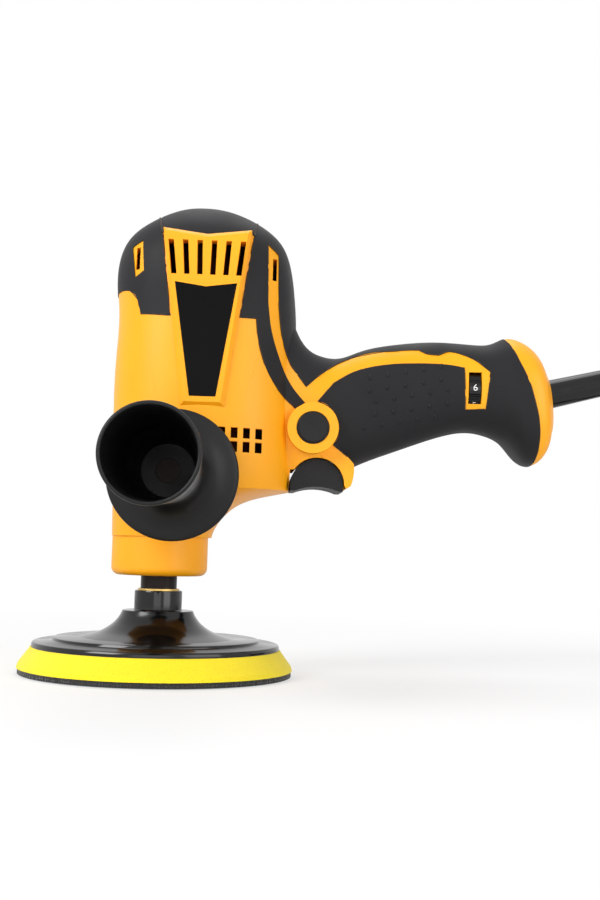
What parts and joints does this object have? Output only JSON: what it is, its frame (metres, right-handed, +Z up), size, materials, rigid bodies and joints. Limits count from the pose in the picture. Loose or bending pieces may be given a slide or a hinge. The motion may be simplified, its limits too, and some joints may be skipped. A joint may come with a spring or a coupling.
{
  "type": "rotary polisher",
  "caption": "Upright rotary polisher with a hook-faced foam pad, a screw-in side handle and a rubber-covered rear grip.",
  "frame": {"origin": "centre of the pad's hook face, on the spindle's axis", "axes": "+Z up the spindle, +X towards the rear grip, the side handle points to -Y"},
  "size_m": [0.433, 0.3087, 0.2159],
  "materials": {
    "yellow_casing": "satin moulded nylon",
    "black_rubber": "soft overmould",
    "black_plastic": "fine texture",
    "gloss_black": "polished moulding",
    "label_black": "smooth bare plate",
    "hook_cloth": "hook tape",
    "yellow_foam": "foam",
    "steel": "machined",
    "bearing_steel": "ground",
    "brass": "turned",
    "copper": "enamelled wire",
    "aluminium": "die cast",
    "laminations": "stacked sheet",
    "fan_plastic": "moulded",
    "carbon": "pressed carbon",
    "cord_jacket": "smooth jacket",
    "white_nylon": "moulded"
  },
  "bodies": {
    "housing": {"spindle_bearing": "bearing_steel", "spindle_bush": "brass", "gear_plate": "aluminium", "lower_motor_bearing": "bearing_steel", "upper_motor_bearing": "bearing_steel", "field_core": "laminations", "field_coils": "copper", "brush_holders": "brass", "carbon_brushes": "carbon", "brush_springs": "steel", "dome_cap": "black_rubber", "front_guard_left": "black_rubber", "grip_rubber_left": "black_rubber", "housing_left": "yellow_casing", "label_plate_left": "label_black", "front_guard_right": "black_rubber", "grip_rubber_right": "black_rubber", "housing_right": "yellow_casing", "label_plate_right": "label_black", "housing_screws": "steel", "switch_body": "black_plastic", "trigger_spring": "steel", "lock_spring": "steel", "speed_module": "black_plastic", "handle_insert": "brass", "strain_relief": "cord_jacket", "cord_lead": "cord_jacket", "cord_tail": "cord_jacket", "cord_coil": "cord_jacket", "cord_clamp": "white_nylon", "plug": "cord_jacket", "plug_pins": "brass"},
    "spindle": {"spindle": "steel", "spindle_gear": "steel", "spindle_spacer": "steel", "pad_washer": "brass", "pad_insert": "steel", "backing_plate": "gloss_black", "foam_pad": "yellow_foam", "hook_face": "hook_cloth"},
    "armature": {"armature_shaft": "steel", "armature_core": "laminations", "armature_windings": "copper", "commutator": "copper", "cooling_fan": "fan_plastic"},
    "trigger": {"trigger": "black_plastic"},
    "lock_button": {"lock_button": "black_plastic"},
    "speed_dial": {"speed_dial": "black_plastic"},
    "handle_washer": {"handle_washer": "steel"},
    "side_handle": {"side_handle_grip": "black_plastic", "handle_stud": "steel"}
  },
  "joints": [
    {"name": "spindle_spin", "type": "hinge", "parent": "housing", "child": "spindle", "pos_m": [0, 0, 0], "axis": [0, 0, 1], "continuous": true},
    {"name": "armature_spin", "type": "hinge", "parent": "housing", "child": "armature", "pos_m": [0.018, 0, 0], "axis": [0, 0, 1], "continuous": true},
    {"name": "trigger_pull", "type": "slide", "parent": "housing", "child": "trigger", "axis": [0, 0, 1], "range_m": [0, 0.005], "stiffness_N_per_m": 600, "springref_m": -0.003, "deforming": ["trigger_spring"]},
    {"name": "lock_button_press", "type": "slide", "parent": "housing", "child": "lock_button", "axis": [0, 1, 0], "range_m": [0, 0.003], "stiffness_N_per_m": 600, "springref_m": -0.002, "deforming": ["lock_spring"]},
    {"name": "speed_dial_turn", "type": "hinge", "parent": "housing", "child": "speed_dial", "pos_m": [0.1423, -0.0092, 0.134], "axis": [1, 0, 0], "range_deg": [0, 290]},
    {"name": "handle_advance", "type": "slide", "parent": "housing", "child": "handle_washer", "axis": [0, -1, 0], "range_m": [0, 0.012]},
    {"name": "handle_unscrew", "type": "hinge", "parent": "handle_washer", "child": "side_handle", "pos_m": [0.0076, 0, 0.0884], "axis": [0, -1, 0], "range_deg": [0, 2880]}
  ],
  "couplings": [
    {"joint": "armature_spin", "follows": "spindle_spin", "ratio": -5.4286},
    {"joint": "handle_advance", "follows": "handle_unscrew", "m_per_rad": 0.00023873}
  ]
}
